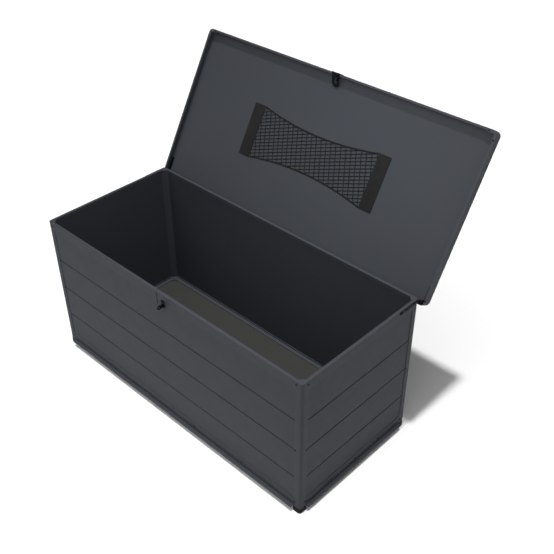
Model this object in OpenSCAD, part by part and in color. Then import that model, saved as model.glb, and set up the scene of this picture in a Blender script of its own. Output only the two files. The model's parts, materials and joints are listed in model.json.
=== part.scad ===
// Deck storage box in sheet steel: framed walls, tray lid on two end hinges, a net organiser
// under the lid and a hasp for a padlock.
// Frame: X along the long side, -Y is the front, Z up. The origin is the middle of the
// footprint on the ground. The lid is drawn open, resting on its stops.

/* [Box] */
// Length of the box over its corner posts
box_l = 1290; // [1000:1:1600]
// Depth of the box over its corner posts
box_d = 570; // [460:1:760]
// Height of the rail tops above the ground
box_h = 595; // [480:1:720]

/* [Sheet and panels] */
// Wall of the posts, rails, caps and lid channels
sheet_t = 1.5; // [1.2:0.1:2]
// Thickness of a wall panel
panel_t = 8; // [6:0.5:10]
// Number of planks pressed into each wall panel
plank_count = 4; // [3:1:5]
// Width of the groove between two planks
groove_w = 4; // [3:0.5:6]
// Depth of the groove between two planks
groove_depth = 2.5; // [1:0.5:3]
// Height of the lowest plank's edge above the ground, behind the bottom rail
plank_foot = 36; // [30:1:44]

/* [Posts, caps and feet] */
// Width of the flange that a post lays over each wall
post_flange = 29; // [26:1:36]
// Outer corner radius of the posts, caps and feet
post_r = 10; // [7:0.5:11]
// Side of the square tube in the corner of a post
post_tube = 13.5; // [12:0.5:14]
// Height of a top corner cap
cap_h = 24; // [20:1:28]
// Height of a foot under its post
foot_h = 16; // [14:1:20]
// Height of the foot's rim around the foot of the post
foot_rim_h = 5; // [4:0.5:7]
// How far a foot stands out past the post
foot_proud = 1.5; // [1:0.5:2]
// Length of the plug by which a cap or foot enters the post's tube
plug_l = 12; // [8:1:16]
// Gap around that plug
plug_gap = 0.5; // [0.3:0.1:0.8]

/* [Rails] */
// Outer height of a top rail
top_rail_h = 36; // [34:1:44]
// Inner height of a top rail
top_rail_inner_h = 14; // [12:1:18]
// Height of a bottom rail's lower edge above the ground
bottom_rail_z = 18; // [17:1:22]
// Outer height of a bottom rail
bottom_rail_h = 44; // [38:1:50]
// Height of the drip lip's top above the ground
lip_z = 28; // [27:1:31]
// How far the drip lip stands out from the wall
lip_w = 12; // [8:1:14]
// Drop of the lip's turned-down edge
lip_drop = 8; // [5:1:9]

/* [Floor] */
// Height of the shelf that carries the floor panel
shelf_z = 42; // [36:1:48]
// Thickness of the floor panel
floor_t = 4; // [3:0.5:6]
// Gap between the floor pieces and the walls
floor_gap = 0.5; // [0.3:0.1:1]
// Thickness of the trim strip along the floor's edge
trim_t = 3; // [2:0.5:4]
// Height of the trim's upstand along the wall
trim_up = 9; // [6:1:12]
// Reach of a floor corner plate along each trim strip
plate_reach = 16; // [12:1:22]

/* [Fasteners] */
// Radius of a frame screw's head
screw_head_r = 3; // [2.5:0.1:3.4]
// Height of a frame screw's head
screw_head_h = 1.8; // [1.2:0.1:2.4]
// Radius of a frame screw's shank
screw_r = 1.6; // [1.2:0.1:2]
// Length of a frame screw's shank
screw_l = 6; // [4:0.5:7]
// Distance of the post screws from the corner
screw_inset = 25; // [21:0.5:25]
// Number of screws along a long bottom rail
long_screws = 4; // [2:1:6]
// Number of screws along a short bottom rail
short_screws = 3; // [2:1:4]

/* [Lid] */
// How far the lid stands out past the box on each side
lid_over = 20; // [19:0.5:24]
// Overall depth of the lid tray
lid_depth = 30; // [25:1:37]
// Thickness of the lid's flat panel with its upper skin
lid_panel_t = 8; // [7:0.5:10]
// Gap between the closed lid and the rail tops
lid_seat = 1.5; // [1.5:0.1:3]
// Width of a lid channel's upper flange
lid_flange = 18; // [14:1:24]
// Width of the hem along the lid's lower edge
lid_hem = 8; // [6:0.5:8]
// Height of the hem's turned-up edge
hem_up = 5; // [3:0.5:6]
// Leg length of a lid corner piece
lid_corner = 38; // [34:1:44]
// Outer corner radius of the lid
lid_r = 18; // [12:1:22]
// Hem width of a front lid corner piece
corner_hem = 12; // [10:1:14]
// Angle from closed to fully open
open_angle = 120; // [116:1:124]

/* [Hinge] */
// Distance of the hinge axis behind the rear wall
hinge_back = 10; // [9:0.5:10]
// Distance of the hinge axis below the closed lid's lower edge
hinge_drop = 0.5; // [0:0.1:1.5]
// Thickness of a hinge leaf and of a hinge arm
hinge_t = 3; // [2.5:0.1:3.2]
// Gap between a leaf and its arm
hinge_gap = 2; // [1.6:0.1:2.4]
// Width of the leaf's and the arm's bar
hinge_bar = 12; // [10:0.5:13]
// Radius of the eye around the pin
eye_r = 7.5; // [6:0.5:7.5]
// Length of the fixed leaf ahead of the pin
leaf_l = 110; // [90:1:130]
// Length of the lid arm ahead of the pin
arm_l = 60; // [50:1:66]
// Width of the arm's screw flange
arm_flange = 8; // [7:0.5:8]
// Radius of the hinge pin
pin_r = 3; // [2.5:0.1:3.5]
// Running clearance around the hinge and hasp pins
pin_play = 0.05; // [0.03:0.01:0.08]
// Radius of the pin's collar and heads
pin_head_r = 5; // [4.4:0.1:5.4]
// Width of a rubber lid stop
stop_w = 30; // [20:1:40]
// Height of a rubber lid stop
stop_h = 16; // [12:1:20]
// Distance of each lid stop from the middle
stop_x = 450; // [300:1:470]

/* [Latch] */
// Width of the strap that hooks over the front rail
strap_w = 18; // [14:1:22]
// Thickness of that strap
strap_t = 1.2; // [0.8:0.1:1.2]
// Height of the strap on the front wall
strap_h = 57; // [50:1:64]
// Distance of the strap's nearer edge from the middle of the hasp
strap_x = 18; // [17:0.5:24]
// Thickness of the padlock lug
lug_t = 3; // [2.5:0.1:3.5]
// Width of the lug's base plate
lug_w = 15; // [12:1:20]
// Height of the lug's base plate
lug_h = 30; // [26:1:34]
// Radius of the padlock holes
lock_r = 3.8; // [3.2:0.1:4]
// Wall around a padlock hole
lock_wall = 3.6; // [3:0.1:4]
// Height of the padlock hole below the hasp's pin
lock_drop = 14; // [13.5:0.5:16]
// Distance of the padlock hole ahead of the hasp's pin
lock_out = 7; // [6.8:0.1:8]
// Width of the hasp tongue
hasp_w = 32; // [28:1:36]
// Length of the hasp tongue below its pin
hasp_l = 50; // [48:0.5:51]
// Thickness of the hasp tongue
hasp_t = 2.5; // [2:0.1:2.6]
// Width of the slot in the tongue
slot_w = 12; // [8:0.5:14]
// Length of the slot in the tongue
slot_l = 26; // [20:1:28]
// Drop of the hasp's pin below the lid's edge
hasp_drop = 6; // [5.5:0.1:7]
// Gap between the tongue and the lug
latch_gap = 1.5; // [1:0.1:2]
// Radius of the hasp's pin
hasp_pin_r = 1.5; // [1.2:0.1:1.8]

/* [Organiser] */
// Distance between the outer edges of the end bands
net_l = 656; // [560:1:760]
// Width of an end band
band_w = 54; // [40:1:64]
// Length of an end band
band_l = 205; // [180:1:240]
// Thickness of an end band
band_t = 3; // [2:0.5:4]
// Thickness of the net
net_t = 1.4; // [1:0.1:2]
// How far each long edge of the net curves in
net_sag = 28; // [15:1:40]

/* [Hidden] */
$fn = 64;
over = 1;                                       // how far a cut runs past a face
wall_in = sheet_t + panel_t;                    // inner face of a wall panel
rail_w = wall_in + sheet_t;                     // width of a top rail
half_l = box_l / 2;
half_d = box_d / 2;
post_top = box_h - cap_h;
panel_z0 = bottom_rail_z + sheet_t;
panel_z1 = box_h - sheet_t;
plank_h = (box_h - top_rail_h - plank_foot) / plank_count;
floor_top = shelf_z + floor_t;
post_screw_high = plank_foot + 2 * plank_h;     // post screws stand level with a groove
rail_screw_z = (lip_z + bottom_rail_z + bottom_rail_h) / 2 + 1;
cap_screw_z = post_top + cap_h / 2 - 1;
hinge_t0 = half_l;                              // inner face of the fixed leaf
arm_x0 = half_l + hinge_t + hinge_gap;          // inner face of the lid arm
axle_y = half_d + hinge_back;
leaf_z = box_h - hinge_bar / 2 - 1;             // middle of the fixed leaf's bar
bolt_end = 9;                                   // last hinge bolt to the end of its bar
bolt_step = 24;                                 // and to the bolt behind it
leaf_bolts = [hinge_back + screw_inset, leaf_l - bolt_end - bolt_step, leaf_l - bolt_end];
lid_x = half_l + lid_over;
lid_y = half_d + lid_over;
lid_under = box_h + lid_seat;
lid_top = lid_under + lid_panel_t;
lid_rim = lid_top - lid_depth;
axle_z = lid_rim - hinge_drop;
arm_bolts = [arm_l - bolt_end - bolt_step, arm_l - bolt_end];
arm_bolt_x = arm_x0 + hinge_t + arm_flange / 2;
arm_z = lid_under - hinge_bar / 2;              // middle of the lid arm's bar
hem_screw_leg = lid_corner - 6;                 // hem screw's distance along the lid's edge
rear_screw_leg = lid_corner / 2;
hasp_y = -(lid_y - 4);
hasp_z = lid_rim - hasp_drop;
mount_t = 2;
mount_h = 23;
knuckle_r = hasp_pin_r + 2;
knuckle_w = 5;
barrel_half = hasp_w / 2 - knuckle_w + 0.3;
lock_y = hasp_y - lock_out;
lock_z = hasp_z - lock_drop;
ear_t = 2.5;
lug_x = hasp_w / 2 + latch_gap;                 // face of the lug beside the tongue
lug_base_t = 2.5;
rivet_inset = 6;
stop_gap = 0.3;
rear_rim_y = open_y(lid_y, lid_rim);            // rear edge of the open lid, nearest the wall
rear_rim_z = open_z(lid_y, lid_rim);
net_x = net_l / 2 - band_w;
net_arc_r = (net_x * net_x + net_sag * net_sag) / (2 * net_sag);

// Where a point of the closed lid stands once the lid is open
function open_y(y, z) = axle_y + (y - axle_y) * cos(open_angle) + (z - axle_z) * sin(open_angle);
function open_z(y, z) = axle_z - (y - axle_y) * sin(open_angle) + (z - axle_z) * cos(open_angle);
// Evenly spread stations along a length
function stations(length, count) = [for (i = [1:count]) length * (i / (count + 1) - 0.5)];

// The four walls, named by how far each is turned from the front
FRONT = 0;
RIGHT = 90;
REAR = 180;
LEFT = 270;
function is_long(wall) = wall == FRONT || wall == REAR;
function wall_l(wall) = is_long(wall) ? box_l : box_d;
function wall_half(wall) = is_long(wall) ? half_d : half_l;
function rail_l(wall) = wall_l(wall) - 2 * post_flange;
function rail_screws(wall) = is_long(wall) ? long_screws : short_screws;
// At the rear of an end wall the hinge leaf's first bolt stands in for the cap screw
function cap_sides(wall) = wall == RIGHT ? [-1] : wall == LEFT ? [1] : [-1, 1];
// Screws of one wall as [place along the wall, height]
function wall_screws(wall) = concat(
    [for (side = cap_sides(wall)) [side * (wall_l(wall) / 2 - screw_inset), cap_screw_z]],
    [for (side = [-1, 1], z = [post_screw_high, rail_screw_z])
        [side * (wall_l(wall) / 2 - screw_inset), z]],
    [for (s = stations(rail_l(wall), rail_screws(wall))) [s, rail_screw_z]]);

// ---- frames that pieces are drawn in ----

// A wall's own frame: X along the wall, Y inward from its outer face
module on_wall(wall) {
    rotate([0, 0, wall]) translate([0, -wall_half(wall), 0]) children();
}

// A corner's own frame: X and Y both run inward from the outer corner
module at_corner(right, rear, hx, hy) {
    translate([right ? hx : -hx, rear ? hy : -hy, 0])
        mirror([right ? 1 : 0, 0, 0]) mirror([0, rear ? 1 : 0, 0]) children();
}

// Sweeps an outline of [inward, height] along a wall
module along(length) {
    rotate([90, 0, 90]) linear_extrude(height = length, center = true) children();
}

// Stands an outline of [Y, height] up at x and gives it a thickness along X
module upright(x, thickness) {
    translate([x, 0, 0]) rotate([90, 0, 90]) linear_extrude(height = thickness) children();
}

// Turns the closed lid open about the hinge axis
module opened() {
    translate([0, axle_y, axle_z]) rotate([-open_angle, 0, 0])
        translate([0, -axle_y, -axle_z]) children();
}

// Carries the hasp to where its pin stands on the open lid; it still hangs plumb
module hung() {
    translate([0, open_y(hasp_y, hasp_z) - hasp_y, open_z(hasp_y, hasp_z) - hasp_z]) children();
}

module right_or_left(right) {
    mirror([right ? 0 : 1, 0, 0]) children();
}

// ---- outlines ----

// A square with one rounded corner at the origin
module corner_square(side, r) {
    intersection() {
        square(side);
        union() {
            translate([r, 0]) square(side);
            translate([0, r]) square(side);
            translate([r, r]) circle(r);
        }
    }
}

// The L-shaped skin around an outer corner
module corner_skin(leg, wall, r) {
    difference() {
        corner_square(leg, r);
        translate([wall, wall]) corner_square(leg, r - wall);
    }
}

// The hollow web that closes the inside of a corner at 45 degrees
module corner_web() {
    inner_leg = post_flange - sheet_t * (1 + sqrt(2));
    difference() {
        polygon([[wall_in, wall_in], [post_flange, wall_in], [wall_in, post_flange]]);
        polygon([[rail_w, rail_w], [inner_leg, rail_w], [rail_w, inner_leg]]);
    }
}

// A rectangle with four round corners, centred
module round_plate(hx, hy, r) {
    square([2 * (hx - r), 2 * hy], center = true);
    square([2 * hx, 2 * (hy - r)], center = true);
    for (sx = [-1, 1], sy = [-1, 1]) translate([sx * (hx - r), sy * (hy - r)]) circle(r);
}

// The straight sides that join two circles of different size
module link(a, ra, b, rb) {
    run = norm(b - a);
    lean = atan2(b[1] - a[1], b[0] - a[0]);
    swing = acos((ra - rb) / run);
    up = [cos(lean + swing), sin(lean + swing)];
    down = [cos(lean - swing), sin(lean - swing)];
    polygon([a + ra * up, b + rb * up, b + rb * down, a + ra * down]);
    translate(a) circle(ra);
    translate(b) circle(rb);
}

// ---- fasteners ----

// A pan-head screw whose head sits on the plane Y = 0 and whose shank runs along +Y
module screw(head_r, head_h, shank_r, shank_l) {
    rotate([90, 0, 0]) cylinder(r = head_r, h = head_h);
    rotate([-90, 0, 0]) cylinder(r = shank_r, h = shank_l);
}

// The hole that such a shank needs, open at the outside
module screw_hole(shank_r, shank_l) {
    translate([0, -over, 0]) rotate([-90, 0, 0]) cylinder(r = shank_r, h = shank_l + over);
}

module wall_screw_holes(wall) {
    on_wall(wall) for (p = wall_screws(wall))
        translate([p[0], 0, p[1]]) screw_hole(screw_r, screw_l);
}

module all_wall_screw_holes() {
    for (wall = [FRONT, RIGHT, REAR, LEFT]) wall_screw_holes(wall);
}

module leaf_bolt_places() {
    for (side = [false, true], ahead = leaf_bolts)
        right_or_left(side) translate([half_l, axle_y - ahead, leaf_z]) children();
}

module leaf_bolt_holes() {
    leaf_bolt_places() rotate([0, -90, 0]) translate([0, 0, -hinge_t - over])
        cylinder(r = screw_r, h = hinge_t + screw_l + over);
}

// ---- walls ----

module wall_panel(wall) {
    color([0.26, 0.28, 0.30]) difference() {
        on_wall(wall) along(wall_l(wall) - 2 * post_tube) difference() {
            translate([sheet_t, panel_z0]) square([panel_t, panel_z1 - panel_z0]);
            for (i = [1:plank_count - 1]) translate([sheet_t, plank_foot + i * plank_h])
                polygon([[-over, -groove_w / 2], [0, -groove_w / 2], [groove_depth, -groove_w / 4],
                         [groove_depth, groove_w / 4], [0, groove_w / 2], [-over, groove_w / 2]]);
        }
        wall_screw_holes(wall);
        leaf_bolt_holes();
        latch_rivet_holes();
    }
}

module post(right, rear) {
    color([0.27, 0.29, 0.31]) difference() {
        at_corner(right, rear, half_l, half_d) translate([0, 0, foot_h])
            linear_extrude(height = post_top - foot_h) {
                corner_skin(post_flange, sheet_t, post_r);
                difference() {
                    corner_square(post_tube, post_r);
                    translate([sheet_t, sheet_t])
                        corner_square(post_tube - 2 * sheet_t, post_r - sheet_t);
                }
                difference() {
                    corner_web();
                    square(post_tube - sheet_t);    // keeps the tube clear for the plugs
                }
            }
        all_wall_screw_holes();
    }
}

module top_rail(wall) {
    color([0.28, 0.30, 0.32]) difference() {
        on_wall(wall) along(rail_l(wall)) {
            translate([0, box_h - top_rail_h]) square([sheet_t, top_rail_h]);
            translate([0, box_h - sheet_t]) square([rail_w, sheet_t]);
            translate([wall_in, box_h - top_rail_inner_h]) square([sheet_t, top_rail_inner_h]);
        }
        leaf_bolt_holes();
        latch_rivet_holes();
    }
}

module bottom_rail(wall) {
    color([0.27, 0.29, 0.31]) difference() {
        on_wall(wall) along(rail_l(wall)) {
            translate([0, bottom_rail_z]) square([sheet_t, bottom_rail_h]);
            translate([0, bottom_rail_z]) square([rail_w, sheet_t]);
            translate([wall_in, bottom_rail_z]) square([sheet_t, shelf_z - bottom_rail_z]);
            translate([wall_in, shelf_z - sheet_t]) square([post_flange - wall_in, sheet_t]);
            translate([-lip_w, lip_z - sheet_t]) square([lip_w, sheet_t]);
            translate([-lip_w, lip_z - lip_drop]) square([sheet_t, lip_drop]);
        }
        wall_screw_holes(wall);
    }
}

module cap(right, rear) {
    plug_side = post_tube - 2 * sheet_t - 2 * plug_gap;
    plug_at = sheet_t + plug_gap;
    color([0.29, 0.32, 0.34]) difference() {
        at_corner(right, rear, half_l, half_d) {
            translate([0, 0, post_top]) linear_extrude(height = cap_h) {
                corner_skin(post_flange, sheet_t, post_r);
                corner_web();
            }
            translate([0, 0, box_h - sheet_t]) linear_extrude(height = sheet_t) intersection() {
                corner_square(post_flange, post_r);
                polygon([[0, 0], [post_flange, 0], [post_flange, wall_in],
                         [wall_in, post_flange], [0, post_flange]]);
            }
            translate([plug_at, plug_at, post_top - plug_l])
                linear_extrude(height = plug_l + cap_h - sheet_t / 2)
                    corner_square(plug_side, post_r - plug_at);
        }
        all_wall_screw_holes();
        leaf_bolt_holes();
    }
}

module foot(right, rear) {
    plug_side = post_tube - 2 * sheet_t - 2 * plug_gap;
    plug_at = sheet_t + plug_gap;
    color([0.03, 0.03, 0.03]) at_corner(right, rear, half_l, half_d) {
        translate([-foot_proud, -foot_proud, 0]) linear_extrude(height = foot_h)
            corner_square(post_flange + 2 * foot_proud, post_r + foot_proud);
        linear_extrude(height = foot_h + foot_rim_h) intersection() {
            translate([-foot_proud, -foot_proud])
                corner_skin(post_flange + foot_proud, foot_proud, post_r + foot_proud);
            translate([-foot_proud, -foot_proud]) square(post_flange + foot_proud);
        }
        translate([plug_at, plug_at, foot_h - over]) linear_extrude(height = plug_l + over)
            corner_square(plug_side, post_r - plug_at);
    }
}

// ---- floor ----

module floor_panel() {
    hx = half_l - wall_in - floor_gap;
    hy = half_d - wall_in - floor_gap;
    cut = post_flange - wall_in;                // the corner web takes this much of each corner
    color([0.24, 0.24, 0.235]) difference() {
        translate([0, 0, shelf_z]) linear_extrude(height = floor_t)
            polygon([[-hx + cut, -hy], [hx - cut, -hy], [hx, -hy + cut], [hx, hy - cut],
                     [hx - cut, hy], [-hx + cut, hy], [-hx, hy - cut], [-hx, -hy + cut]]);
        floor_screw_places() cylinder(r = screw_r, h = screw_l + over, center = true);
    }
}

module floor_trim(wall) {
    wall_side = wall_in + floor_gap;
    color([0.27, 0.28, 0.29]) on_wall(wall) along(rail_l(wall)) translate([0, floor_top])
        polygon([[wall_side, 0], [post_flange, 0], [post_flange, trim_t],
                 [wall_side + trim_t, trim_t], [wall_side + trim_t, trim_up], [wall_side, trim_up]]);
}

// The screws through the floor corner plates stand on the diagonal of each corner
module floor_screw_places() {
    for (right = [false, true], rear = [false, true]) at_corner(right, rear, half_l, half_d)
        translate([post_flange + 2, post_flange + 2, floor_top + trim_t + sheet_t - screw_l / 2])
            children();
}

module floor_corner_plates() {
    near = wall_in + floor_gap + trim_t + floor_gap;   // clear of the trim's upstand
    far = post_flange + plate_reach;
    slope = post_flange + wall_in + 2 * floor_gap;     // clear of the post's web
    color([0.27, 0.28, 0.29]) difference() {
        for (right = [false, true], rear = [false, true]) at_corner(right, rear, half_l, half_d)
            translate([0, 0, floor_top + trim_t]) linear_extrude(height = sheet_t)
                polygon([[slope - near, near], [far, near], [far, post_flange],
                         [post_flange, far], [near, far], [near, slope - near]]);
        floor_screw_places() cylinder(r = screw_r, h = screw_l + over, center = true);
    }
}

module frame_screws() {
    color([0.03, 0.03, 0.03]) {
        for (wall = [FRONT, RIGHT, REAR, LEFT]) on_wall(wall) for (p = wall_screws(wall))
            translate([p[0], 0, p[1]]) screw(screw_head_r, screw_head_h, screw_r, screw_l);
        floor_screw_places() translate([0, 0, screw_l / 2]) rotate([-90, 0, 0])
            screw(screw_head_r, screw_head_h, screw_r, screw_l);
    }
}

// ---- hinges ----

module hinge_leaf(right) {
    color([0.03, 0.03, 0.03]) difference() {
        right_or_left(right) upright(hinge_t0, hinge_t) difference() {
            union() {
                translate([axle_y - leaf_l, leaf_z - hinge_bar / 2])
                    square([leaf_l - hinge_back - hinge_bar, hinge_bar]);
                link([half_d - hinge_bar, leaf_z], hinge_bar / 2, [axle_y, axle_z], eye_r);
            }
            translate([axle_y, axle_z]) circle(pin_r);
        }
        leaf_bolt_holes();
    }
}

module hinge_bolts() {
    color([0.05, 0.05, 0.05]) leaf_bolt_places() translate([hinge_t, 0, 0])
        rotate([0, 0, 90]) screw(screw_head_r, hinge_gap, screw_r, hinge_t + screw_l);
}

// The pin is peened behind the leaf, has a collar between leaf and arm and a head outside
module hinge_pin(right) {
    head_h = 2;
    side_gap = 0.3;
    color([0.05, 0.05, 0.05]) right_or_left(right) translate([hinge_t0, axle_y, axle_z])
        rotate([0, 90, 0]) {
            translate([0, 0, -head_h]) cylinder(r = pin_head_r - 0.5, h = head_h);
            translate([0, 0, -head_h / 2])
                cylinder(r = pin_r, h = head_h + 2 * hinge_t + hinge_gap + side_gap);
            translate([0, 0, hinge_t]) cylinder(r = pin_head_r, h = hinge_gap - side_gap);
            translate([0, 0, 2 * hinge_t + hinge_gap + side_gap])
                cylinder(r = pin_head_r, h = head_h);
        }
}

module lid_stops() {
    color([0.02, 0.02, 0.02]) for (side = [-1, 1])
        translate([side * stop_x - stop_w / 2, half_d, rear_rim_z - stop_h / 2])
            cube([stop_w, rear_rim_y - half_d - stop_gap, stop_h]);
}

module hinge_arm(right) {
    color([0.03, 0.03, 0.03]) opened() difference() {
        right_or_left(right) {
            upright(arm_x0, hinge_t) difference() {
                union() {
                    translate([axle_y - arm_l, lid_under - hinge_bar])
                        square([arm_l - eye_r, hinge_bar]);
                    link([axle_y - eye_r, arm_z], hinge_bar / 2, [axle_y, axle_z], eye_r);
                }
                translate([axle_y, axle_z]) circle(pin_r + pin_play);
            }
            translate([arm_x0 + hinge_t / 2, axle_y - arm_l, lid_under - sheet_t])
                cube([hinge_t / 2 + arm_flange, arm_l - 2 * eye_r, sheet_t]);
        }
        arm_bolt_holes();
    }
}

module arm_bolt_places() {
    for (side = [false, true], ahead = arm_bolts) right_or_left(side)
        translate([arm_bolt_x, axle_y - ahead, lid_under - sheet_t]) children();
}

module arm_bolt_holes() {
    arm_bolt_places() translate([0, 0, -over]) cylinder(r = screw_r, h = screw_l + over);
}

module hinge_arm_bolts() {
    color([0.05, 0.05, 0.05]) opened() arm_bolt_places() rotate([90, 0, 0])
        screw(screw_head_r, screw_head_h, screw_r, screw_l);
}

// ---- lid, drawn closed and then opened ----

module lid_panel() {
    color([0.25, 0.27, 0.29]) opened() difference() {
        translate([0, 0, lid_under]) linear_extrude(height = lid_panel_t - sheet_t)
            round_plate(lid_x - sheet_t, lid_y - sheet_t, lid_r - sheet_t);
        arm_bolt_holes();
    }
}

module lid_channel(wall) {
    color([0.28, 0.30, 0.31]) opened() on_wall(wall) translate([0, -lid_over, 0])
        along(wall_l(wall) + 2 * (lid_over - lid_corner)) {
            translate([0, lid_rim]) square([sheet_t, lid_depth]);
            translate([0, lid_top - sheet_t]) square([lid_flange, sheet_t]);
            translate([0, lid_rim]) square([lid_hem, sheet_t]);
            translate([lid_hem - sheet_t, lid_rim]) square([sheet_t, hem_up]);
        }
}

// A rear corner's hem keeps to the lid's end, so that the hinge has room
module lid_corner_piece(right, rear) {
    color([0.27, 0.29, 0.31]) opened() difference() {
        at_corner(right, rear, lid_x, lid_y) {
            translate([0, 0, lid_rim]) linear_extrude(height = lid_depth)
                corner_skin(lid_corner, sheet_t, lid_r);
            translate([0, 0, lid_top - sheet_t]) linear_extrude(height = sheet_t)
                corner_square(lid_corner, lid_r);
            translate([0, 0, lid_rim]) linear_extrude(height = sheet_t) intersection() {
                difference() {
                    corner_square(lid_corner, lid_r);
                    translate([corner_hem, corner_hem]) square(lid_corner);
                }
                square([rear ? lid_hem : lid_corner, lid_corner]);
            }
        }
        lid_screw_places() translate([0, 0, -over]) cylinder(r = screw_r, h = screw_l + over);
    }
}

module lid_screw_places() {
    for (right = [false, true]) {
        at_corner(right, false, lid_x, lid_y) {
            translate([hem_screw_leg, corner_hem / 2, lid_rim]) children();
            translate([corner_hem / 2, hem_screw_leg, lid_rim]) children();
        }
        at_corner(right, true, lid_x, lid_y)
            translate([sheet_t + screw_head_r, rear_screw_leg, lid_rim]) children();
    }
}

module lid_screws() {
    color([0.03, 0.03, 0.03]) opened() lid_screw_places() rotate([90, 0, 0])
        screw(screw_head_r, screw_head_h, screw_r, screw_l);
}

// ---- net organiser under the lid ----

module organiser_net() {
    color([0.08, 0.08, 0.08]) opened() translate([0, 0, lid_under - band_t / 2 - net_t / 2])
        linear_extrude(height = net_t) difference() {
            square([2 * net_x, band_l], center = true);
            for (side = [-1, 1])
                translate([0, side * (band_l / 2 - net_sag + net_arc_r)])
                    circle(r = net_arc_r, $fn = 360);
        }
}

module organiser_band(side) {
    color([0.12, 0.11, 0.10]) opened()
        translate([side * (net_x + band_w / 2), 0, lid_under - band_t / 2])
            cube([band_w, band_l, band_t], center = true);
}

// ---- latch ----

// A clip that hooks over the front rail and grips its inner leg
module latch_strap() {
    color([0.29, 0.31, 0.33]) translate([-strap_x - strap_w, -half_d, box_h]) {
        translate([0, -strap_t, -strap_h]) cube([strap_w, strap_t, strap_h + strap_t]);
        cube([strap_w, rail_w + strap_t, strap_t]);
        translate([0, rail_w, -top_rail_inner_h]) cube([strap_w, strap_t, top_rail_inner_h]);
    }
}

module padlock_lug() {
    color([0.03, 0.03, 0.03]) difference() {
        union() {
            translate([lug_x + lug_t - lug_w, -half_d - lug_base_t, lock_z - lug_h / 2])
                cube([lug_w, lug_base_t, lug_h]);
            upright(lug_x, lug_t) {
                translate([lock_y, lock_z]) circle(lock_r + lock_wall);
                translate([lock_y, lock_z - lock_r - lock_wall])
                    square([-half_d - lock_y, 2 * (lock_r + lock_wall)]);
            }
        }
        upright(lug_x - over, lug_t + 2 * over) translate([lock_y, lock_z]) circle(lock_r);
        latch_rivet_holes();
    }
}

module latch_rivet_places() {
    for (step = [-1, 1]) translate([lug_x + (lug_t - lug_w) / 2 - lug_t / 4,
        -half_d - lug_base_t, lock_z + step * (lug_h / 2 - rivet_inset)]) children();
}

module latch_rivet_holes() {
    latch_rivet_places() screw_hole(screw_r, lug_base_t + screw_l);
}

module latch_rivets() {
    color([0.05, 0.05, 0.05]) latch_rivet_places()
        screw(screw_head_r, screw_head_h, screw_r, lug_base_t + screw_l);
}

module hasp_mount() {
    color([0.03, 0.03, 0.03]) opened() difference() {
        union() {
            translate([-hasp_w / 2, -lid_y - mount_t, lid_rim])
                cube([hasp_w, mount_t, mount_h]);
            for (side = [0, 1]) mirror([side, 0, 0])
                upright(hasp_w / 2 - knuckle_w + 1, knuckle_w - 1) {
                    translate([hasp_y, hasp_z]) circle(knuckle_r);
                    translate([-lid_y - mount_t, hasp_z - knuckle_r])
                        square([hasp_y + lid_y + mount_t, 2 * knuckle_r]);
                    translate([-lid_y - mount_t, hasp_z])
                        square([mount_t, hasp_drop + over]);
                }
        }
        upright(-hasp_w, 2 * hasp_w) translate([hasp_y, hasp_z]) circle(hasp_pin_r);
    }
}

module hasp_pin() {
    head_h = 1;
    color([0.06, 0.06, 0.06]) opened() {
        upright(-hasp_w / 2, hasp_w) translate([hasp_y, hasp_z]) circle(hasp_pin_r);
        for (side = [0, 1]) mirror([side, 0, 0])
            upright(hasp_w / 2, head_h) translate([hasp_y, hasp_z]) circle(hasp_pin_r + 1);
    }
}

module hasp_tongue() {
    end_r = hasp_w / 2;
    shoulder = knuckle_r + 1.7;                 // the full width starts clear of the knuckles
    slot_top = 10;
    color([0.03, 0.03, 0.03]) hung() difference() {
        union() {
            upright(-barrel_half, 2 * barrel_half) translate([hasp_y, hasp_z]) circle(knuckle_r);
            translate([0, hasp_y + hasp_t / 2, hasp_z]) rotate([90, 0, 0])
                linear_extrude(height = hasp_t) {
                    translate([-barrel_half, -shoulder - 2]) square([2 * barrel_half, shoulder + 2]);
                    translate([-end_r, end_r - hasp_l])
                        square([hasp_w, hasp_l - end_r - shoulder]);
                    translate([0, end_r - hasp_l]) circle(end_r);
                }
            upright(end_r - ear_t, ear_t) {
                translate([lock_y, lock_z]) circle(lock_r + lock_wall);
                translate([lock_y, lock_z - lock_r - lock_wall])
                    square([hasp_y - lock_y, 2 * (lock_r + lock_wall)]);
            }
        }
        upright(-hasp_w, 2 * hasp_w) translate([hasp_y, hasp_z]) circle(hasp_pin_r + pin_play);
        upright(0, hasp_w) translate([lock_y, lock_z]) circle(lock_r);
        translate([0, hasp_y + hasp_t, hasp_z - slot_top - slot_w / 2]) rotate([90, 0, 0])
            linear_extrude(height = 2 * hasp_t) {
                circle(slot_w / 2);
                translate([-slot_w / 2, slot_w - slot_l]) square([slot_w, slot_l - slot_w]);
                translate([0, slot_w - slot_l]) circle(slot_w / 2);
            }
    }
}

wall_panel(FRONT);  // front_panel
wall_panel(REAR);  // rear_panel
wall_panel(LEFT);  // left_panel
wall_panel(RIGHT);  // right_panel
post(false, false);  // post_front_left
post(true, false);  // post_front_right
post(false, true);  // post_rear_left
post(true, true);  // post_rear_right
top_rail(FRONT);  // top_rail_front
top_rail(REAR);  // top_rail_rear
top_rail(LEFT);  // top_rail_left
top_rail(RIGHT);  // top_rail_right
bottom_rail(FRONT);  // bottom_rail_front
bottom_rail(REAR);  // bottom_rail_rear
bottom_rail(LEFT);  // bottom_rail_left
bottom_rail(RIGHT);  // bottom_rail_right
cap(false, false);  // cap_front_left
cap(true, false);  // cap_front_right
cap(false, true);  // cap_rear_left
cap(true, true);  // cap_rear_right
foot(false, false);  // foot_front_left
foot(true, false);  // foot_front_right
foot(false, true);  // foot_rear_left
foot(true, true);  // foot_rear_right
floor_panel();
floor_trim(FRONT);  // floor_trim_front
floor_trim(REAR);  // floor_trim_rear
floor_trim(LEFT);  // floor_trim_left
floor_trim(RIGHT);  // floor_trim_right
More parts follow.
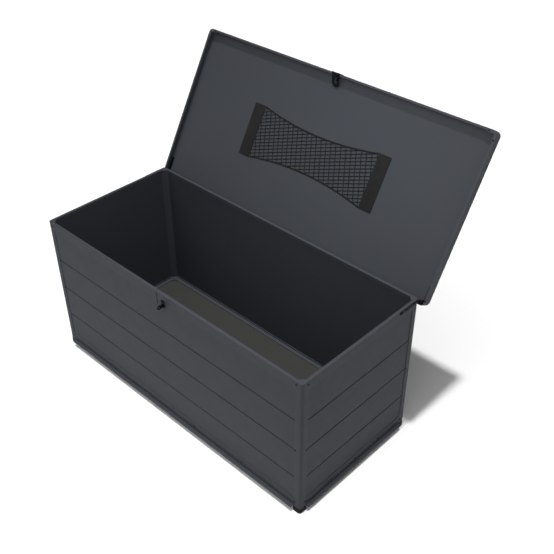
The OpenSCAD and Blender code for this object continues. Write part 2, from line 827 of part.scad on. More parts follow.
floor_corner_plates();
frame_screws();
hinge_leaf(false);  // hinge_leaf_left
hinge_leaf(true);  // hinge_leaf_right
hinge_bolts();
hinge_pin(false);  // hinge_pin_left
hinge_pin(true);  // hinge_pin_right
lid_stops();
latch_strap();
padlock_lug();
latch_rivets();
lid_panel();
lid_channel(FRONT);  // lid_channel_front
lid_channel(REAR);  // lid_channel_rear
lid_channel(LEFT);  // lid_channel_left
lid_channel(RIGHT);  // lid_channel_right
lid_corner_piece(false, false);  // lid_corner_front_left
lid_corner_piece(true, false);  // lid_corner_front_right
lid_corner_piece(false, true);  // lid_corner_rear_left
lid_corner_piece(true, true);  // lid_corner_rear_right
hinge_arm(false);  // hinge_arm_left
hinge_arm(true);  // hinge_arm_right
hinge_arm_bolts();
lid_screws();
organiser_net();
organiser_band(-1);  // organiser_band_left
organiser_band(1);  // organiser_band_right
hasp_mount();
hasp_pin();
hasp_tongue();
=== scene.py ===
"""Finishes, net organiser, screws, light and camera for the deck storage box."""

import json
import math
import random

import bmesh
import bpy
from mathutils import Matrix, Vector


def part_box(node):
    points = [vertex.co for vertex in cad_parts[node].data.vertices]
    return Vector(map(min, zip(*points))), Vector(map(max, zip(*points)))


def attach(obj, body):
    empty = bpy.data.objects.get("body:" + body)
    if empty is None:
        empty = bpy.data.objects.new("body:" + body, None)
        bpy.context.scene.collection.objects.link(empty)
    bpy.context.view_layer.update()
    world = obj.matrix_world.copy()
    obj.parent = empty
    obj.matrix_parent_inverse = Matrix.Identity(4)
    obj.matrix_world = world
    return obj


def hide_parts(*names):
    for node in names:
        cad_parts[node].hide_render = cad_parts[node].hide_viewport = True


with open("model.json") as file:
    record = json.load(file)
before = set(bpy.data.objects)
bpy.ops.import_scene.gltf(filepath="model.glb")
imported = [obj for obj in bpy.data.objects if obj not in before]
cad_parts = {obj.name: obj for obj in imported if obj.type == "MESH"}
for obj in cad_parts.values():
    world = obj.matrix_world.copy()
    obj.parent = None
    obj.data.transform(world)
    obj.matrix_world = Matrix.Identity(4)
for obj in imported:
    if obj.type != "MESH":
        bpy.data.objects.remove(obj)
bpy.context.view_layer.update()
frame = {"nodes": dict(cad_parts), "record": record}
MM = 0.001
NODES = frame["nodes"]
BODY_OF = {node: body
           for body, nodes in frame["record"]["behaviour"]["bodies"].items() for node in nodes}
SLOT_OF = {row["node"]: row["material_slot"] for row in frame["record"]["subparts"]}
X_AXIS = Vector((1, 0, 0))
OPEN_LEAN = math.radians(30)            # the open lid leans this far behind upright


# ---------------------------------------------------------------- materials

MIX_COLOURS, MIX_RESULT = slice(6, 8), 2    # a Mix node's own sockets for colours
EDGE_TO_FLAT = (0.86, 0.995)                # cosines of a normal's lean, from edge to flat
COAT_SHINE, BLACK_SHINE, CLOTH_SHINE, CLOTH_SHEEN = 0.13, 0.08, 0.15, 0.03


class Recipe:
    """A material under construction, with short names for its nodes and links."""

    def __init__(self, name):
        self.material = bpy.data.materials.new(name)
        self.material.use_nodes = True
        self.tree = self.material.node_tree
        self.shader = self.tree.nodes["Principled BSDF"]
        self.coords = self.add("ShaderNodeTexCoord").outputs["Object"]

    def add(self, kind, **settings):
        node = self.tree.nodes.new(kind)
        for key, value in settings.items():
            setattr(node, key, value)
        return node

    def link(self, source, target):
        self.tree.links.new(source, target)

    def stretched(self, scale, turn=(0, 0, 0)):
        """Object coordinates, turned and then stretched."""
        turned = self.add("ShaderNodeMapping")
        turned.inputs["Rotation"].default_value = turn
        self.link(self.coords, turned.inputs["Vector"])
        scaled = self.add("ShaderNodeMapping")
        scaled.inputs["Scale"].default_value = scale
        self.link(turned.outputs["Vector"], scaled.inputs["Vector"])
        return scaled.outputs["Vector"]

    def noise(self, scale, detail=2.0, coords=None, rough=0.5):
        node = self.add("ShaderNodeTexNoise")
        node.inputs["Scale"].default_value = scale
        node.inputs["Detail"].default_value = detail
        node.inputs["Roughness"].default_value = rough
        self.link(coords or self.coords, node.inputs["Vector"])
        return node.outputs["Fac"]

    def spread(self, value, low=0, high=1, start=0.3, stop=0.7):
        """Spreads the part of a pattern from start to stop between two plain numbers."""
        node = self.add("ShaderNodeMapRange")
        node.inputs["From Min"].default_value = start
        node.inputs["From Max"].default_value = stop
        node.inputs["To Min"].default_value = low
        node.inputs["To Max"].default_value = high
        self.link(value, node.inputs["Value"])
        return node.outputs["Result"]

    def combine(self, a, b, how="MULTIPLY"):
        """Two patterns, or a pattern and a number, multiplied or added."""
        node = self.add("ShaderNodeMath", operation=how)
        for value, socket in zip((a, b), node.inputs):
            if isinstance(value, (int, float)):
                socket.default_value = value
            else:
                self.link(value, socket)
        return node.outputs["Value"]

    def blend(self, factor, a, b):
        """A colour between a and b."""
        node = self.add("ShaderNodeMix", data_type="RGBA")
        self.link(factor, node.inputs["Factor"])
        for value, socket in zip((a, b), node.inputs[MIX_COLOURS]):
            if isinstance(value, tuple):
                socket.default_value = (*value, 1)
            else:
                self.link(value, socket)
        return node.outputs[MIX_RESULT]

    def bump(self, height, strength, depth, under=None):
        """Relief of a pattern, on top of an earlier relief where one is given."""
        node = self.add("ShaderNodeBump")
        node.inputs["Strength"].default_value = strength
        node.inputs["Distance"].default_value = depth
        self.link(height, node.inputs["Height"])
        if under is not None:
            self.link(under, node.inputs["Normal"])
        return node.outputs["Normal"]

    def edges(self, radius):
        """1 along outer edges and bends, 0 on open surface."""
        rounded = self.add("ShaderNodeBevel", samples=4)
        rounded.inputs["Radius"].default_value = radius
        plain = self.add("ShaderNodeNewGeometry")
        dot = self.add("ShaderNodeVectorMath", operation="DOT_PRODUCT")
        self.link(rounded.outputs["Normal"], dot.inputs[0])
        self.link(plain.outputs["Normal"], dot.inputs[1])
        return self.spread(dot.outputs["Value"], 1, 0, *EDGE_TO_FLAT)

    def colour(self, value):
        self.link(value, self.shader.inputs["Base Color"])

    def roughness(self, value):
        self.link(value, self.shader.inputs["Roughness"])

    def normal(self, value):
        self.link(value, self.shader.inputs["Normal"])

    def shine(self, level, sheen=0.0):
        """How strongly the whole surface mirrors, and the pale sheen of a cloth."""
        self.shader.inputs["Specular IOR Level"].default_value = level
        self.shader.inputs["Sheen Weight"].default_value = sheen


def lighter(colour, factor):
    """The colour made lighter, or darker by a factor under 1."""
    return tuple(channel * factor for channel in colour)


def powder_coat(name, colour, grain_turn=(0, 0, 0), grain=0.0, edge_wear_and_highlight=0.0):
    """Satin coat with fine orange peel, a faint embossed grain, and edges painted paler: partly
    rubbed paint, partly a painted highlight.
    """
    r = Recipe(name)
    cloud = r.spread(r.noise(3.5, 3))
    speck = r.spread(r.noise(1600, 1))
    base = r.blend(cloud, lighter(colour, 0.98), lighter(colour, 1.02))
    base = r.blend(r.combine(speck, 0.16), base, lighter(colour, 1.5))
    # edges painted up to 2.1 times paler: partly rubbed paint, partly a painted highlight along
    # rims, bends and the bottom rails' lip
    if edge_wear_and_highlight:
        rub = r.spread(r.noise(60, 4), start=0.35, stop=0.65)
        rim = r.combine(r.edges(1.2 * MM), rub)
        base = r.blend(r.combine(rim, edge_wear_and_highlight), base, lighter(colour, 2.1))
    r.colour(base)
    r.roughness(r.spread(r.noise(22, 4), 0.57, 0.62))
    peel = r.bump(r.noise(900, 2), 0.22, 0.10 * MM)
    if grain:
        streaks = r.noise(1, 4, r.stretched((5, 420, 420), grain_turn), 0.6)
        r.normal(r.bump(streaks, grain, 0.20 * MM, peel))
    else:
        r.normal(peel)
    r.shine(COAT_SHINE)
    return r.material


def black_zinc(name, colour, rough):
    """Blackened steel with faint handling marks and paler worn edges."""
    r = Recipe(name)
    smears = r.spread(r.noise(90, 5))
    base = r.blend(smears, lighter(colour, 0.8), lighter(colour, 1.35))
    rub = r.spread(r.noise(300, 3), start=0.45, stop=0.7)
    rim = r.combine(r.edges(0.6 * MM), rub)
    r.colour(r.blend(r.combine(rim, 0.35), base, (0.03, 0.03, 0.031)))
    r.roughness(r.spread(r.noise(160, 4), *rough))
    r.normal(r.bump(r.noise(1500, 2), 0.15, 0.06 * MM))
    r.shine(BLACK_SHINE)
    return r.material


def moulded_plastic(name):
    """Black plastic with a spark-eroded grain."""
    r = Recipe(name)
    cloud = r.spread(r.noise(30, 3))
    r.colour(r.blend(cloud, (0.003, 0.003, 0.0032), (0.006, 0.006, 0.0063)))
    r.roughness(r.spread(r.noise(120, 3), 0.50, 0.64))
    r.shine(BLACK_SHINE)
    cells = r.add("ShaderNodeTexVoronoi")
    cells.inputs["Scale"].default_value = 2200
    r.link(r.coords, cells.inputs["Vector"])
    r.normal(r.bump(cells.outputs["Distance"], 0.3, 0.08 * MM))
    return r.material


def stop_rubber(name):
    """Dull black rubber with dust in its pores."""
    r = Recipe(name)
    dust = r.spread(r.noise(700, 4), start=0.5, stop=0.75)
    r.colour(r.blend(dust, (0.008, 0.008, 0.008), (0.03, 0.029, 0.028)))
    r.roughness(r.spread(r.noise(240, 3), 0.7, 0.88))
    r.normal(r.bump(r.noise(1100, 3), 0.4, 0.12 * MM))
    return r.material


def braided_cord(name):
    """Polyester cord: two crossing families of fine strands."""
    r = Recipe(name)
    weave = None
    for lean in (0.7, -0.7):
        strand = r.add("ShaderNodeTexWave", wave_type="BANDS", bands_direction="X")
        strand.inputs["Scale"].default_value = 320
        strand.inputs["Distortion"].default_value = 0.6
        r.link(r.stretched((1, 1, 1), (0, 0, lean)), strand.inputs["Vector"])
        strand = strand.outputs["Fac"]
        weave = r.combine(weave, strand, "ADD") if weave else strand
    lint = r.spread(r.noise(500, 4), start=0.4, stop=0.7)
    r.colour(r.blend(lint, (0.0030, 0.0031, 0.0033), (0.007, 0.007, 0.0073)))
    r.roughness(r.spread(r.noise(350, 2), 0.62, 0.82))
    r.normal(r.bump(weave, 0.5, 0.12 * MM))
    r.shine(CLOTH_SHINE, CLOTH_SHEEN)
    return r.material


WARP_SCALE = 150                        # a wave's scale: about 480 threads in a metre


def webbing(name):
    """Coarse woven band, warp along its length and weft across it, on the piece's own UV map, with
    shade painted between the threads.
    """
    r = Recipe(name)
    uv = r.add("ShaderNodeUVMap", uv_map="Weave").outputs["UV"]
    threads = []
    for direction, scale in (("X", WARP_SCALE), ("Y", 0.7 * WARP_SCALE)):
        wave = r.add("ShaderNodeTexWave", wave_type="BANDS", bands_direction=direction)
        wave.inputs["Scale"].default_value = scale
        wave.inputs["Distortion"].default_value = 0.5
        wave.inputs["Detail Scale"].default_value = 3
        r.link(uv, wave.inputs["Vector"])
        threads.append(wave.outputs["Fac"])
    cloth = r.combine(*threads)
    # painted shade and highlight: the weave's hollows are darker and its thread tops paler,
    # following the relief
    painted_thread_shade = r.spread(cloth, start=0.1, stop=0.8)
    base = r.blend(painted_thread_shade, (0.0055, 0.0050, 0.0050), (0.0115, 0.0106, 0.0104))
    fade = r.spread(r.noise(40, 4))
    r.colour(r.blend(r.combine(fade, 0.3), base, (0.0125, 0.0113, 0.0110)))
    r.roughness(r.spread(r.noise(260, 3), 0.7, 0.9))
    r.normal(r.bump(cloth, 0.55, 0.25 * MM))
    r.shine(CLOTH_SHINE, CLOTH_SHEEN)
    return r.material


def studio_floor(name):
    """Pale seamless floor with a very faint unevenness."""
    r = Recipe(name)
    r.colour(r.blend(r.spread(r.noise(1.5, 2)), (0.93, 0.93, 0.932), (0.95, 0.95, 0.951)))
    r.roughness(r.spread(r.noise(5, 2), 0.75, 0.85))
    return r.material


COAT = (0.0315, 0.0345, 0.0405)         # blue-grey
FLOOR_COAT = (0.030, 0.030, 0.0290)
FITTING_BLACK = (0.0035, 0.0036, 0.0038)
SCREW_BLACK = (0.0025, 0.0025, 0.0027)
ALONG_Y = (0, 0, math.pi / 2)           # turns the grain along the end panels
ALONG_LID = (OPEN_LEAN - math.pi / 2, 0, 0)     # lays the open lid's plane flat
FINE_GRAIN, COARSE_GRAIN = 0.10, 0.20
FINISH = {
    "panel_long": powder_coat("coat_long_panels", COAT, grain=FINE_GRAIN),
    "panel_end": powder_coat("coat_end_panels", COAT, ALONG_Y, FINE_GRAIN),
    "lid_paint": powder_coat("coat_lid_panel", COAT, ALONG_LID, FINE_GRAIN),
    # the frame's edges are painted much paler: rubbed paint together with a painted highlight on
    # the lip and rims
    "frame_paint": powder_coat("coat_frame", lighter(COAT, 1.10), edge_wear_and_highlight=0.8),
    "floor_sheet": powder_coat("coat_floor", FLOOR_COAT, grain=COARSE_GRAIN),
    "black_steel": black_zinc("black_zinc_fittings", FITTING_BLACK, (0.50, 0.62)),
    "black_fasteners": black_zinc("black_zinc_screws", SCREW_BLACK, (0.44, 0.56)),
    "black_plastic": moulded_plastic("foot_plastic"),
    "stop_rubber": stop_rubber("stop_rubber"),
    "net_cord": braided_cord("net_cord"),
    "band_webbing": webbing("band_webbing"),
}


def finish_of(node):
    """The wall panels' grain follows their length; the rest takes its slot's finish."""
    if node in ("front_panel", "rear_panel"):
        return FINISH["panel_long"]
    if node in ("left_panel", "right_panel"):
        return FINISH["panel_end"]
    return FINISH[SLOT_OF[node]]


# ---------------------------------------------------------------- helpers

WELD = 0.002 * MM                       # corners nearer than this are one
FLAT_WITHIN = math.radians(0.5)         # facets this close to level are one flat
BEND_ANGLE = math.radians(35)           # edges sharper than this are rounded
ROUND_STEPS = 2
AREA_ONLY = 100                         # large flats keep their own normals


def new_piece(name, bm, material, node, smooth=True):
    """Makes a mesh object of bm, with the material given, that rides on a CAD node's body."""
    mesh = bpy.data.meshes.new(name)
    bm.to_mesh(mesh)
    bm.free()
    for face in mesh.polygons:
        face.use_smooth = smooth
    mesh.materials.append(material)
    piece = bpy.data.objects.new(name, mesh)
    bpy.context.scene.collection.objects.link(piece)
    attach(piece, BODY_OF[node])
    return piece


def merged_copy(node):
    """A bmesh of a CAD node with its loose triangles joined and its flats made whole."""
    bm = bmesh.new()
    bm.from_mesh(NODES[node].data)
    bmesh.ops.remove_doubles(bm, verts=bm.verts, dist=WELD)
    bmesh.ops.dissolve_limit(bm, angle_limit=FLAT_WITHIN, verts=bm.verts, edges=bm.edges)
    return bm


def round_edges(piece, width):
    """Rounds the sharp edges and leaves the flats between them looking flat."""
    edge = piece.modifiers.new("rounded_edges", "BEVEL")
    edge.width = width
    edge.segments = ROUND_STEPS
    edge.limit_method = "ANGLE"
    edge.angle_limit = BEND_ANGLE
    edge.use_clamp_overlap = False
    flats = piece.modifiers.new("true_flats", "WEIGHTED_NORMAL")
    flats.mode = "FACE_AREA"
    flats.weight = AREA_ONLY


def soften(node, width):
    """Shows a CAD piece with its cut edges and bends rounded."""
    piece = new_piece(node + "_finished", merged_copy(node), finish_of(node), node)
    round_edges(piece, width)
    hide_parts(node)


def islands(bm):
    """The separate solids of a merged mesh, in order, each as a list of its corners' places."""
    reached = set()
    for start in bm.verts:
        if start in reached:
            continue
        reached.add(start)
        found, edge = [], [start]
        while edge:
            vert = edge.pop()
            found.append(vert.co.copy())
            for near in (e.other_vert(vert) for e in vert.link_edges):
                if near not in reached:
                    reached.add(near)
                    edge.append(near)
        yield found


# ---------------------------------------------------------------- screws

SOCKET_SIDES = 6
HEAD_SIDES = 24
DOME_STEPS = 5
HEAD_SEAT = 0.97                        # shares of the head's radius: where it sits down,
HEAD_FLAT = 0.56                        # the flat on top,
SOCKET_R = 0.4                          # and the socket
RIM_HEIGHT = 0.22                       # shares of the head's height: its upright rim
SOCKET_DEPTH = 0.6                      # and the socket
SAME_LEVEL = 0.05 * MM


def screw_head(radius, height):
    """A low domed head with a hexagon socket, as a mesh seated at z = 0 and facing +Z."""
    flat = HEAD_FLAT * radius
    rim = [Vector((radius * HEAD_SEAT, 0, 0)), Vector((radius, 0, RIM_HEIGHT * height))]
    for i in range(1, DOME_STEPS + 1):
        angle = math.pi / 2 * i / DOME_STEPS
        rim.append(Vector((flat + (radius - flat) * math.cos(angle), 0,
                           height * (RIM_HEIGHT + (1 - RIM_HEIGHT) * math.sin(angle)))))
    bm = bmesh.new()
    verts = [bm.verts.new(p) for p in rim]
    line = [bm.edges.new(pair) for pair in zip(verts, verts[1:])]
    bmesh.ops.spin(bm, geom=verts + line, cent=(0, 0, 0), axis=(0, 0, 1),
                   angle=math.tau, steps=HEAD_SIDES, use_merge=True)
    ring = [e for e in bm.edges if all(v.co.z > 0.999 * height for v in e.verts)]
    lower = [e for e in bm.edges if all(v.co.z < 0.001 * height for v in e.verts)]
    socket = bmesh.ops.create_circle(bm, segments=SOCKET_SIDES, radius=SOCKET_R * radius,
                                     matrix=Matrix.Translation((0, 0, height)))["verts"]
    hexagon = list(dict.fromkeys(e for v in socket for e in v.link_edges))
    bmesh.ops.bridge_loops(bm, edges=ring + hexagon)
    walls = bmesh.ops.extrude_edge_only(bm, edges=hexagon)["geom"]
    bmesh.ops.translate(bm, verts=[v for v in walls if isinstance(v, bmesh.types.BMVert)],
                        vec=(0, 0, -SOCKET_DEPTH * height))
    bmesh.ops.contextual_create(bm, geom=[e for e in walls if isinstance(e, bmesh.types.BMEdge)
                                          and all(v.co.z < height * 0.5 for v in e.verts)])
    bmesh.ops.contextual_create(bm, geom=lower)
    bmesh.ops.recalc_face_normals(bm, faces=bm.faces)
    mesh = bpy.data.meshes.new("screw_head")
    bm.to_mesh(mesh)
    bm.free()
    return mesh


SCREW_AXES = (X_AXIS, Vector((0, 1, 0)), Vector((0, 0, 1)),
              Vector((0, math.cos(OPEN_LEAN), -math.sin(OPEN_LEAN))))    # through the open lid


def screw_places(node):
    """For each screw of a node: the matrix of its head's seat, its head's radius and height."""
    for points in islands(merged_copy(node)):
        middle = sum(points, Vector()) / len(points)
        for direction in SCREW_AXES:        # along its own axis a screw has just three levels
            heights = sorted((p - middle).dot(direction) for p in points)
            levels = [heights[0]] + [b for a, b in zip(heights, heights[1:]) if b - a > SAME_LEVEL]
            if len(levels) == 3:
                break
        low, seat, high = levels
        end, out = (high, direction) if high - seat < seat - low else (low, -direction)
        tip = [p for p in points if abs((p - middle).dot(direction) - end) < SAME_LEVEL]
        centre = sum(tip, Vector()) / len(tip)
        radius = max((p - centre).length for p in tip)
        height = abs(end - seat)
        yield (Matrix.Translation(centre - out * height)
               @ out.to_track_quat("Z", "X").to_matrix().to_4x4()), radius, height


def detailed_screws(node):
    """Replaces a node's plain heads by domed ones with a socket, each turned its own way."""
    chance = random.Random(node)
    places = list(screw_places(node))
    _, radius, height = places[0]           # the heads of one node are alike
    head = screw_head(radius, height)
    bm = bmesh.new()
    for place, _, _ in places:
        before = len(bm.verts)
        bm.from_mesh(head)
        bm.verts.ensure_lookup_table()
        turned = place @ Matrix.Rotation(chance.uniform(0, math.tau), 4, "Z")
        bmesh.ops.transform(bm, matrix=turned, verts=bm.verts[before:])
    bpy.data.meshes.remove(head)
    piece = new_piece(node + "_heads", bm, FINISH["black_fasteners"], node, smooth=False)
    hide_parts(node)


# ---------------------------------------------------------------- net organiser

def lid_plane():
    """The organiser's own frame: X across, Y up the open lid, Z out of its underside."""
    low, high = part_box("organiser_net")
    middle = (low + high) / 2
    up = Vector((0, math.sin(OPEN_LEAN), math.cos(OPEN_LEAN)))
    out = X_AXIS.cross(up)
    turn = Matrix((X_AXIS, up, out)).transposed().to_4x4()
    return Matrix.Translation(middle) @ turn


PLANE = lid_plane()
OFF_PLANE = PLANE.inverted()
net_low, net_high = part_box("organiser_net")
band_low, band_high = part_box("organiser_band_left")
CAD_BAND_THICK = 3 * MM                 # of the plain band that the woven one replaces
HALF_NET = (net_high.x - net_low.x) / 2
BAND_L = ((band_high.z - band_low.z - CAD_BAND_THICK * math.sin(OPEN_LEAN))
          / math.cos(OPEN_LEAN))
NET_SAG = 28 * MM                       # how far the middle of each long edge curves in
ARC_R = (HALF_NET ** 2 + NET_SAG ** 2) / (2 * NET_SAG)

NET_TURN = math.radians(20)             # the mesh is hung askew, so that it stretches both ways
MESH_LONG = 21.9 * MM
MESH_SHORT = 13.0 * MM
REACH = int(HALF_NET / MESH_SHORT) + 8  # rows each way that surely cover the turned net
CORD_R = 1.6 * MM
CORD_FLATNESS = 0.5                     # the cords are flat knitted, half as thick as wide
WEAVE_LIFT = 0.7 * MM                   # before the cords are flattened
KNOT_R = 1.45 * CORD_R
KNOTS_WITHIN = (1.01, 1.03)             # keeps knots off the bands and the edge cords
EDGE_CORD_R = 2.6 * MM
EDGE_FLATNESS = 0.55
EDGE_STEPS = 40

BAND_THICK = 2.6 * MM
BAND_ROUNDING = 0.9 * MM
BAND_LIFT = 0.1 * MM                    # clears the lid's underside
STITCH_PITCH = 5.0 * MM
STITCH_L = 3.4 * MM
STITCH_INSET = 5.0 * MM                 # from the band's long side
STITCH_SHAPE = (0.24, 1, 0.16, 1)       # shares of its length: width, length, height
STITCH_FREE = 8 * MM                    # left bare, both ends of the band together


def half_height(x):
    """Half of the net's height at x, between its two curved edges."""
    return BAND_L / 2 - NET_SAG + ARC_R - math.sqrt(ARC_R ** 2 - x ** 2)


def inside_net(x, y):
    """Whether a point of the organiser's plane is on the net."""
    return abs(x) <= HALF_NET and abs(y) <= half_height(min(abs(x), HALF_NET))


def net_strands():
    """Runs of crossing points for both families of cords, woven over and under each other."""
    along = Vector((math.cos(NET_TURN), math.sin(NET_TURN), 0))
    across = Vector((-math.sin(NET_TURN), math.cos(NET_TURN), 0))
    families = ((along, MESH_LONG, across, MESH_SHORT, 1),
                (across, MESH_SHORT, along, MESH_LONG, -1))
    for run, step, offset, pitch, side in families:
        for row in range(-REACH, REACH + 1):
            strand = []
            for k in range(-2 * REACH, 2 * REACH + 1):      # crossings and half-way points
                p = offset * (row * pitch) + run * (k * step / 2)
                if inside_net(p.x, p.y):
                    lift = side * (-1) ** (row + k // 2) * WEAVE_LIFT if k % 2 == 0 else 0
                    strand.append(Vector((p.x, p.y, lift)))
            if len(strand) > 1:
                first, last = strand[0], strand[-1]
                strand[0] = reach_edge(first, -run, step)
                strand[-1] = reach_edge(last, run, step)
                yield strand


HALVINGS = 12


def reach_edge(point, direction, step):
    """Carries a strand's end on to the edge cord or the band, by halving the gap."""
    near, far = 0.0, step
    for _ in range(HALVINGS):
        half = (near + far) / 2
        p = point + direction * half
        near, far = (half, far) if inside_net(p.x, p.y) else (near, half)
    return point + direction * near


def cord_mesh(name, lines, radius):
    """Closed round cords along lines of points, as a bmesh."""
    curve = bpy.data.curves.new(name, "CURVE")
    curve.dimensions = "3D"
    curve.bevel_depth = radius
    curve.bevel_resolution = 1
    curve.use_fill_caps = True
    for line in lines:
        spline = curve.splines.new("POLY")
        spline.points.add(len(line) - 1)
        for point, place in zip(spline.points, line):
            point.co = (*place, 1)
    holder = bpy.data.objects.new(name, curve)
    bpy.context.scene.collection.objects.link(holder)
    mesh = bpy.data.meshes.new_from_object(holder)
    bpy.data.objects.remove(holder)
    bpy.data.curves.remove(curve)
    bm = bmesh.new()
    bm.from_mesh(mesh)
    bmesh.ops.remove_doubles(bm, verts=bm.verts, dist=0.01 * MM)
    bpy.data.meshes.remove(mesh)
    return bm


NET_CORDS = list(net_strands())
NET_AREA = 2 * CORD_R * sum((b - a).length      # of the cords alone, laid flat
                            for line in NET_CORDS for a, b in zip(line, line[1:]))


def net():
    """The knotted net: crossing cords with a knot at each crossing."""
    bm = cord_mesh("strands", NET_CORDS, CORD_R)
    turn = Matrix.Rotation(NET_TURN, 4, "Z")
    for i in range(-REACH, REACH + 1):
        for j in range(-REACH, REACH + 1):
            p = turn @ Vector((i * MESH_LONG, j * MESH_SHORT, 0))
            if inside_net(p.x * KNOTS_WITHIN[0], p.y * KNOTS_WITHIN[1]):
                bmesh.ops.create_icosphere(bm, subdivisions=1, radius=KNOT_R,
                                           matrix=Matrix.Translation(p) @ turn)
    bmesh.ops.scale(bm, vec=(1, 1, CORD_FLATNESS), verts=bm.verts)
    bmesh.ops.transform(bm, matrix=PLANE, verts=bm.verts)
    piece = new_piece("net_mesh", bm, FINISH["net_cord"], "organiser_net")
    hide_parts("organiser_net")
    return piece


def net_edge(side):
    """The cord sewn along one curved edge of the net."""
    line = []
    for i in range(EDGE_STEPS + 1):
        x = HALF_NET * (2 * i / EDGE_STEPS - 1)
        line.append(Vector((x, side * (half_height(x) - EDGE_CORD_R), 0)))
    bm = cord_mesh("edge", [line], EDGE_CORD_R)
    bmesh.ops.scale(bm, vec=(1, 1, EDGE_FLATNESS), verts=bm.verts)
    bmesh.ops.transform(bm, matrix=PLANE, verts=bm.verts)
    name = "net_edge_cord_upper" if side > 0 else "net_edge_cord_lower"
    return new_piece(name, bm, FINISH["net_cord"], "organiser_net")


def band(node):
    """A woven band, softly rounded, with a row of stitches along each long side."""
    low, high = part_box(node)
    width = high.x - low.x
    centre = OFF_PLANE @ ((low + high) / 2)
    bm = bmesh.new()
    bmesh.ops.create_cube(bm, size=1)
    bmesh.ops.scale(bm, vec=(width, BAND_L, BAND_THICK), verts=bm.verts)
    bmesh.ops.bevel(bm, geom=bm.edges, offset=BAND_ROUNDING, offset_type="OFFSET", segments=3,
                    profile=0.5, affect="EDGES", clamp_overlap=True, material=-1)
    weave = bm.loops.layers.uv.new("Weave")
    for face in bm.faces:
        for loop in face.loops:
            loop[weave].uv = (loop.vert.co.x, loop.vert.co.y)
    bmesh.ops.translate(bm, verts=bm.verts, vec=(centre.x, centre.y, centre.z + BAND_LIFT))
    bmesh.ops.transform(bm, matrix=PLANE, verts=bm.verts)
    piece = new_piece(node + "_woven", bm, FINISH["band_webbing"], node)
    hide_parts(node)
    stitches(node, centre, width)


def stitches(node, centre, width):
    """Lock stitches down both long sides of a band."""
    count = int((BAND_L - STITCH_FREE) / STITCH_PITCH)
    shape = Matrix.Diagonal(STITCH_SHAPE)
    bm = bmesh.new()
    for side in (-1, 1):
        for i in range(count):
            place = centre + Vector((side * (width / 2 - STITCH_INSET),
                                     (i - (count - 1) / 2) * STITCH_PITCH,
                                     BAND_THICK / 2 + BAND_LIFT))
            bmesh.ops.create_icosphere(bm, subdivisions=1, radius=STITCH_L / 2,
                                       matrix=Matrix.Translation(place) @ shape)
    bmesh.ops.transform(bm, matrix=PLANE, verts=bm.verts)
    new_piece(node + "_stitches", bm, FINISH["net_cord"], node)


# ---------------------------------------------------------------- build

SHEET_EDGE = 0.45 * MM
ROUNDING = {                            # by the start of a piece's name
    "panel": 0.35 * MM, "post": SHEET_EDGE, "top_rail": 0.5 * MM, "bottom_rail": SHEET_EDGE,
    "cap": 0.6 * MM, "foot": 1.2 * MM, "floor": 0.4 * MM, "hinge_leaf": 0.4 * MM,
    "hinge_arm": 0.4 * MM, "hinge_pin": 0.3 * MM, "lid_stops": 1.0 * MM,
    "latch_strap": 0.35 * MM, "padlock_lug": 0.5 * MM, "lid_channel": SHEET_EDGE,
    "lid_corner": SHEET_EDGE, "hasp_mount": 0.4 * MM, "hasp_tongue": 0.6 * MM,
    "hasp_pin": 0.2 * MM,
}
SCREW_NODES = ("frame_screws", "lid_screws", "hinge_bolts", "hinge_arm_bolts", "latch_rivets")
BAND_NODES = ("organiser_band_left", "organiser_band_right")


def rounding_of(node):
    """How far a piece's edges are rounded."""
    if node.endswith("panel"):
        return ROUNDING["panel"]
    return next(width for start, width in ROUNDING.items() if node.startswith(start))


for node in NODES:
    if node in SCREW_NODES:
        detailed_screws(node)
    elif node != "organiser_net" and node not in BAND_NODES:
        soften(node, rounding_of(node))

net_piece = net()
edge_pieces = [net_edge(1), net_edge(-1)]
for node in BAND_NODES:
    band(node)


# ---------------------------------------------------------------- stage

FLOOR_HALF = 40                         # metres, so that its edge is never seen


def floor():
    """The pale floor, which isn't part of the object."""
    bm = bmesh.new()
    bmesh.ops.create_grid(bm, x_segments=1, y_segments=1, size=FLOOR_HALF)
    mesh = bpy.data.meshes.new("studio_floor")
    bm.to_mesh(mesh)
    bm.free()
    mesh.materials.append(studio_floor("floor_paint"))
    piece = bpy.data.objects.new("studio_floor", mesh)
    bpy.context.scene.collection.objects.link(piece)


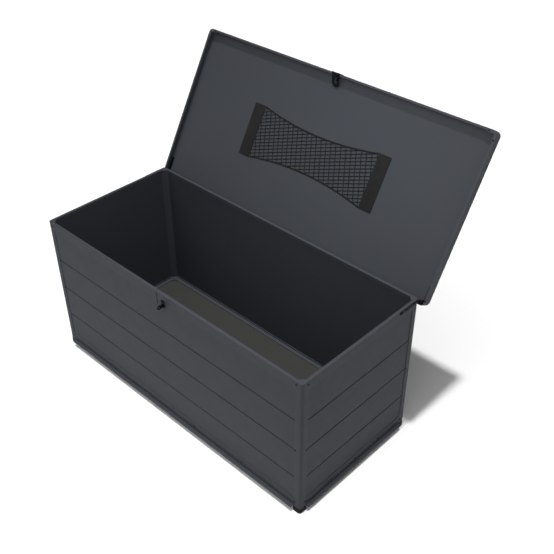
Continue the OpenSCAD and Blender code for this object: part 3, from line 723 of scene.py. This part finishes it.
SKY = (0.94, 1.0, 1.06, 1)
SKY_LIGHT = 0.02                        # what the sky sheds on the object
BACKDROP = 1.0                          # how bright it looks behind the floor
SUNS = (                                # name, power, softness in degrees, where it stands
    ("overhead", 2.4, 3, (0.0, -0.030, 1.0)),
    ("front_high", 1.18, 70, (0.0, -0.50, 0.86)),
    ("front_left", 0.40, 55, (-0.45, -0.80, 0.60)),
    ("right_side", 0.20, 60, (0.80, -0.30, 0.60)),
    ("rear_fill", 0.30, 60, (0.20, 0.85, 0.50)),
)
SOFTBOX = (9.0, 0.5, (0.38, -0.20, 1.55), (-0.75, 0.25, -1.0))   # watts, side, place, aim
SENSOR_W = 36                           # mm, as is the lens
LENS = 53.82
LENS_SHIFT = (-0.0060, 0.0358)
EYE_PLACE = (1.7978, -1.5956, 2.2755)
EYE_TILT = math.radians(52.197)         # up from straight down
EYE_TURN = math.radians(43.471)         # about the upright axis


def add_lamp(data, towards, place=(0, 0, 0)):
    """Hangs a lamp so that it shines away from the direction given."""
    lamp = bpy.data.objects.new(data.name, data)
    lamp.location = place
    lamp.rotation_euler = Vector(towards).to_track_quat("Z", "Y").to_euler()
    bpy.context.scene.collection.objects.link(lamp)
    return lamp


def lights():
    """The sky, the suns and the softbox over the open lid."""
    world = bpy.data.worlds.new("studio")
    world.use_nodes = True
    tree = world.node_tree
    back = tree.nodes["Background"]
    back.inputs["Color"].default_value = SKY
    seen = tree.nodes.new("ShaderNodeLightPath").outputs["Is Camera Ray"]
    strength = tree.nodes.new("ShaderNodeMapRange")
    strength.inputs["To Min"].default_value = SKY_LIGHT
    strength.inputs["To Max"].default_value = BACKDROP
    tree.links.new(seen, strength.inputs["Value"])
    tree.links.new(strength.outputs["Result"], back.inputs["Strength"])
    bpy.context.scene.world = world
    for name, power, softness, towards in SUNS:
        data = bpy.data.lights.new(name, "SUN")
        data.energy = power
        data.angle = math.radians(softness)
        add_lamp(data, towards)
    power, side, place, aim = SOFTBOX
    data = bpy.data.lights.new("softbox", "AREA")
    data.energy = power
    data.size = side
    add_lamp(data, -Vector(aim), place).visible_camera = False


def camera():
    """Looks down into the open box from its front right."""
    data = bpy.data.cameras.new("camera")
    data.sensor_width = SENSOR_W
    data.lens = LENS
    data.shift_x, data.shift_y = LENS_SHIFT
    eye = bpy.data.objects.new("camera", data)
    eye.location = EYE_PLACE
    eye.rotation_euler = (EYE_TILT, 0, EYE_TURN)
    bpy.context.scene.collection.objects.link(eye)
    bpy.context.scene.camera = eye


floor()
lights()
camera()
bpy.context.scene.view_settings.view_transform = "Standard"
